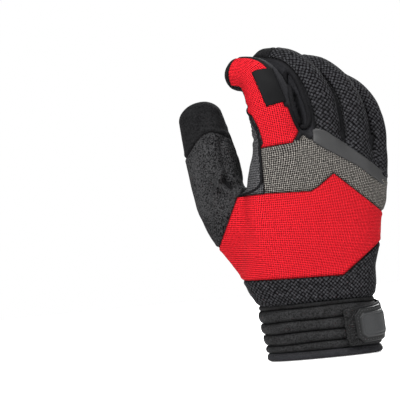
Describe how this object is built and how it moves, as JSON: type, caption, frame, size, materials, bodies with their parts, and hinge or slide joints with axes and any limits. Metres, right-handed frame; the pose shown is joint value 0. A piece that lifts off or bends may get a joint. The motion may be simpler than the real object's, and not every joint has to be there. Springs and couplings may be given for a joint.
{
  "type": "anti vibration work glove",
  "caption": "Right-hand work glove with padded palm, mesh back panels, ribbed cuff with a closing strap, gripping fingertips and a pull loop, in the shape of a half-closed hand.",
  "frame": {"origin": "centre of the wrist opening, in the plane of the cuff's lower edge", "axes": "+Z from the wrist opening to the fingertips, +X to the little finger's side, +Y to the palm's side, so the back of the hand faces -Y and the thumb lies at -X"},
  "size_m": [0.1449, 0.0898, 0.219],
  "materials": {
    "suede": "matt synthetic suede, slightly mottled",
    "stretch_cloth": "plain stretch cloth",
    "grey_knit": "heather grey rib knit",
    "red_mesh": "open mesh knit in rows of small holes",
    "grey_mesh": "open mesh knit in rows of small holes",
    "black_mesh": "dimpled mesh knit",
    "grey_rubber": "smooth matt rubber",
    "smooth_coating": "thin smooth coating",
    "coated_knit": "knit with a dark grey grip coating",
    "neoprene": "foam-backed jersey with a faint sheen",
    "strap_rubber": "moulded matt rubber",
    "hook_tape": "rough hook tape",
    "red_webbing": "flat woven webbing"
  },
  "bodies": {
    "root": {"thumb_tip_cap": "suede", "thumb_panel": "suede", "index_middle_gusset": "stretch_cloth", "middle_ring_gusset": "stretch_cloth", "ring_little_gusset": "stretch_cloth", "web_strip": "grey_knit", "red_back_panel": "red_mesh", "grey_knuckle_panel": "grey_mesh", "index_back_panel": "red_mesh", "finger_back_panel": "black_mesh", "lower_back_panel": "black_mesh", "palm_panel": "suede", "index_front_panel": "suede", "middle_front_panel": "suede", "ring_front_panel": "suede", "little_front_panel": "suede", "knuckle_strip": "grey_rubber", "index_knuckle_patch": "smooth_coating", "index_grip_patch": "coated_knit", "middle_grip_patch": "coated_knit", "ring_grip_patch": "coated_knit", "little_grip_patch": "coated_knit", "thumb_grip_patch": "coated_knit", "palm_pad": "coated_knit", "vent_binding": "stretch_cloth", "cuff_hem": "stretch_cloth", "cuff_rolls": "neoprene", "wrist_strap": "strap_rubber", "strap_hook_end": "hook_tape", "strap_tab_back": "strap_rubber", "strap_tab_palm": "strap_rubber", "pull_loop": "red_webbing"}
  },
  "joints": []
}
